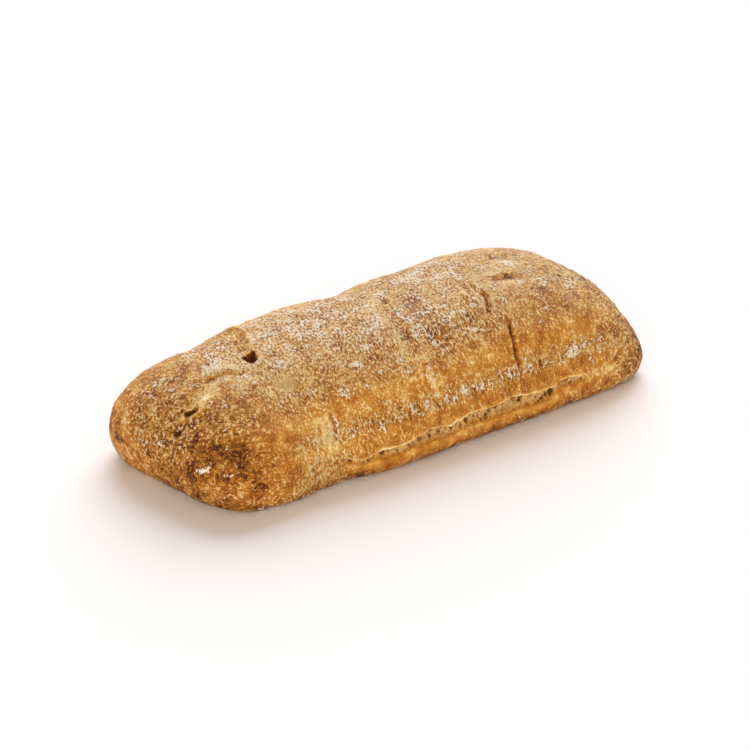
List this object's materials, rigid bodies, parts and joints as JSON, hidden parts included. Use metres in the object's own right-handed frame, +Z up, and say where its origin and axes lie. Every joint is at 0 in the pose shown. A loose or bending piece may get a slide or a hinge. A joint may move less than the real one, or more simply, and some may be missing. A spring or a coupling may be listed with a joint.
{
  "type": "ciabatta loaf",
  "caption": "Flat, wide bread loaf with a domed floured crust, a flat base and a long tear low along one side.",
  "frame": {"origin": "centre of the bounding box, at the flat base", "axes": "+X along the loaf, +Z up; the side with the tear faces -Y and the browner, blunter end is at -X"},
  "size_m": [0.252, 0.1128, 0.0531],
  "materials": {
    "crust": "golden-brown baked crust, matt, dusted with white flour"
  },
  "bodies": {
    "root": {"loaf": "crust"}
  },
  "joints": []
}
